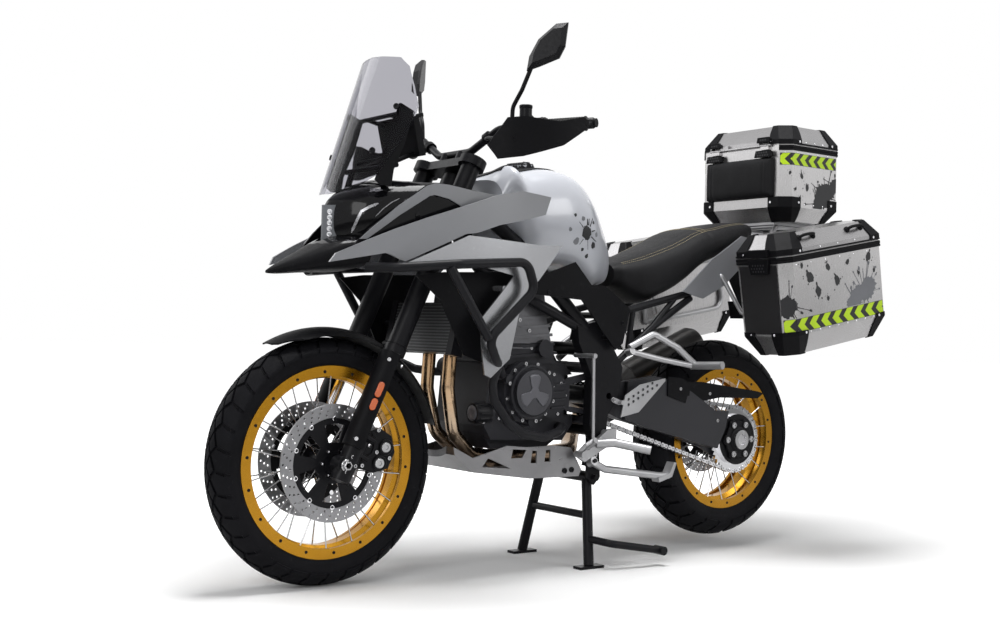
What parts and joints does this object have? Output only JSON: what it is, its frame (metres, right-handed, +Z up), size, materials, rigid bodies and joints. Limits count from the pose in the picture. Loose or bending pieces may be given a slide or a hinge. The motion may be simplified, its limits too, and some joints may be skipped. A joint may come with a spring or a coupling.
{
  "type": "adventure motorcycle",
  "caption": "Adventure motorcycle on its centre stand, with spoked wheels, tall screen, crash bars and aluminium luggage cases with hinged lids.",
  "frame": {"origin": "on the ground under the middle of the motorcycle's length and width", "axes": "+X towards the rear, +Y towards the rider's right, +Z up"},
  "size_m": [2.2048, 0.9232, 1.524],
  "materials": {
    "frame_paint": "satin black powder coat",
    "engine_metal": "dark painted castings",
    "header_metal": "heat tinted steel",
    "muffler_metal": "dark heat tinted steel",
    "radiator_metal": "black fins",
    "tank_paint": "light blue grey, satin gloss",
    "panel_grey": "satin grey",
    "panel_silver": "silver, satin gloss",
    "plastic_black": "grained",
    "gloss_black": "gloss",
    "lens_clear": "clear lens",
    "screen_clear": "clear, slightly smoked",
    "bar_paint": "satin black",
    "alloy": "satin",
    "fork_paint": "satin black anodised",
    "steel_bright": "brushed",
    "chain_steel": "bright",
    "rim_gold": "gold anodised",
    "tyre_rubber": "matt",
    "seat_cover": "grained black cover",
    "case_alloy": "brushed sheet",
    "axle_steel": "machined",
    "stand_paint": "satin black"
  },
  "bodies": {
    "chassis": {"main_frame": "frame_paint", "subframe": "frame_paint", "engine": "engine_metal", "exhaust_headers": "header_metal", "muffler": "muffler_metal", "radiator": "radiator_metal", "fuel_tank": "tank_paint", "side_fairings": "panel_grey", "lower_panels": "panel_silver", "nose_cowl": "plastic_black", "headlight": "lens_clear", "windscreen": "screen_clear", "instrument_cluster": "plastic_black", "crash_bars": "bar_paint", "skid_plate": "alloy", "swingarm": "frame_paint", "rear_axle": "axle_steel", "drive_chain": "chain_steel", "chain_guard": "plastic_black", "rear_shock": "steel_bright", "seat": "seat_cover", "side_covers": "plastic_black", "tail_panels": "panel_grey", "tail_unit": "plastic_black", "foot_controls": "alloy", "stand_bracket": "frame_paint", "radiator_shrouds": "plastic_black", "luggage_rack": "bar_paint", "top_box": "case_alloy", "pannier_left": "case_alloy", "pannier_right": "case_alloy"},
    "steering": {"fork": "fork_paint", "fork_guards": "gloss_black", "triple_clamps": "alloy", "front_fender": "plastic_black", "handlebar": "bar_paint", "hand_guards": "plastic_black", "mirrors": "plastic_black", "front_calipers": "fork_paint"},
    "front_wheel": {"front_tyre": "tyre_rubber", "front_rim": "rim_gold", "front_discs": "steel_bright"},
    "rear_wheel": {"rear_tyre": "tyre_rubber", "rear_rim": "rim_gold", "rear_disc": "steel_bright", "rear_sprocket": "steel_bright"},
    "prop_stand": {"side_stand": "alloy"},
    "main_stand": {"centre_stand": "stand_paint"},
    "top_lid": {"top_box_lid": "case_alloy"},
    "left_lid": {"pannier_lid_left": "case_alloy"},
    "right_lid": {"pannier_lid_right": "case_alloy"}
  },
  "joints": [
    {"name": "steering_turn", "type": "hinge", "parent": "chassis", "child": "steering", "pos_m": [-0.40262, 0, 1.03914], "axis": [0.4147, 0, 0.91], "range_deg": [-30, 30]},
    {"name": "front_wheel_spin", "type": "hinge", "parent": "steering", "child": "front_wheel", "pos_m": [-0.7735, 0, 0.329], "axis": [0, 1, 0], "continuous": true},
    {"name": "rear_wheel_spin", "type": "hinge", "parent": "chassis", "child": "rear_wheel", "pos_m": [0.7025, 0, 0.355], "axis": [0, 1, 0], "continuous": true},
    {"name": "centre_stand_fold", "type": "hinge", "parent": "chassis", "child": "main_stand", "pos_m": [0.0645, 0, 0.262], "axis": [0, -1, 0], "range_deg": [0, 70]},
    {"name": "side_stand_swing", "type": "hinge", "parent": "chassis", "child": "prop_stand", "pos_m": [0.0265, -0.176, 0.312], "axis": [0, 0.9322, -0.3621], "range_deg": [0, 98]},
    {"name": "top_lid_hinge", "type": "hinge", "parent": "chassis", "child": "top_lid", "pos_m": [0.8105, 0, 1.3255], "axis": [0, -1, 0], "range_deg": [0, 95]},
    {"name": "left_lid_hinge", "type": "hinge", "parent": "chassis", "child": "left_lid", "pos_m": [0.77375, -0.246, 0.97234], "axis": [-0.9842, 0, -0.1771], "range_deg": [0, 75]},
    {"name": "right_lid_hinge", "type": "hinge", "parent": "chassis", "child": "right_lid", "pos_m": [0.77375, 0.246, 0.97234], "axis": [0.9842, 0, 0.1771], "range_deg": [0, 75]}
  ]
}
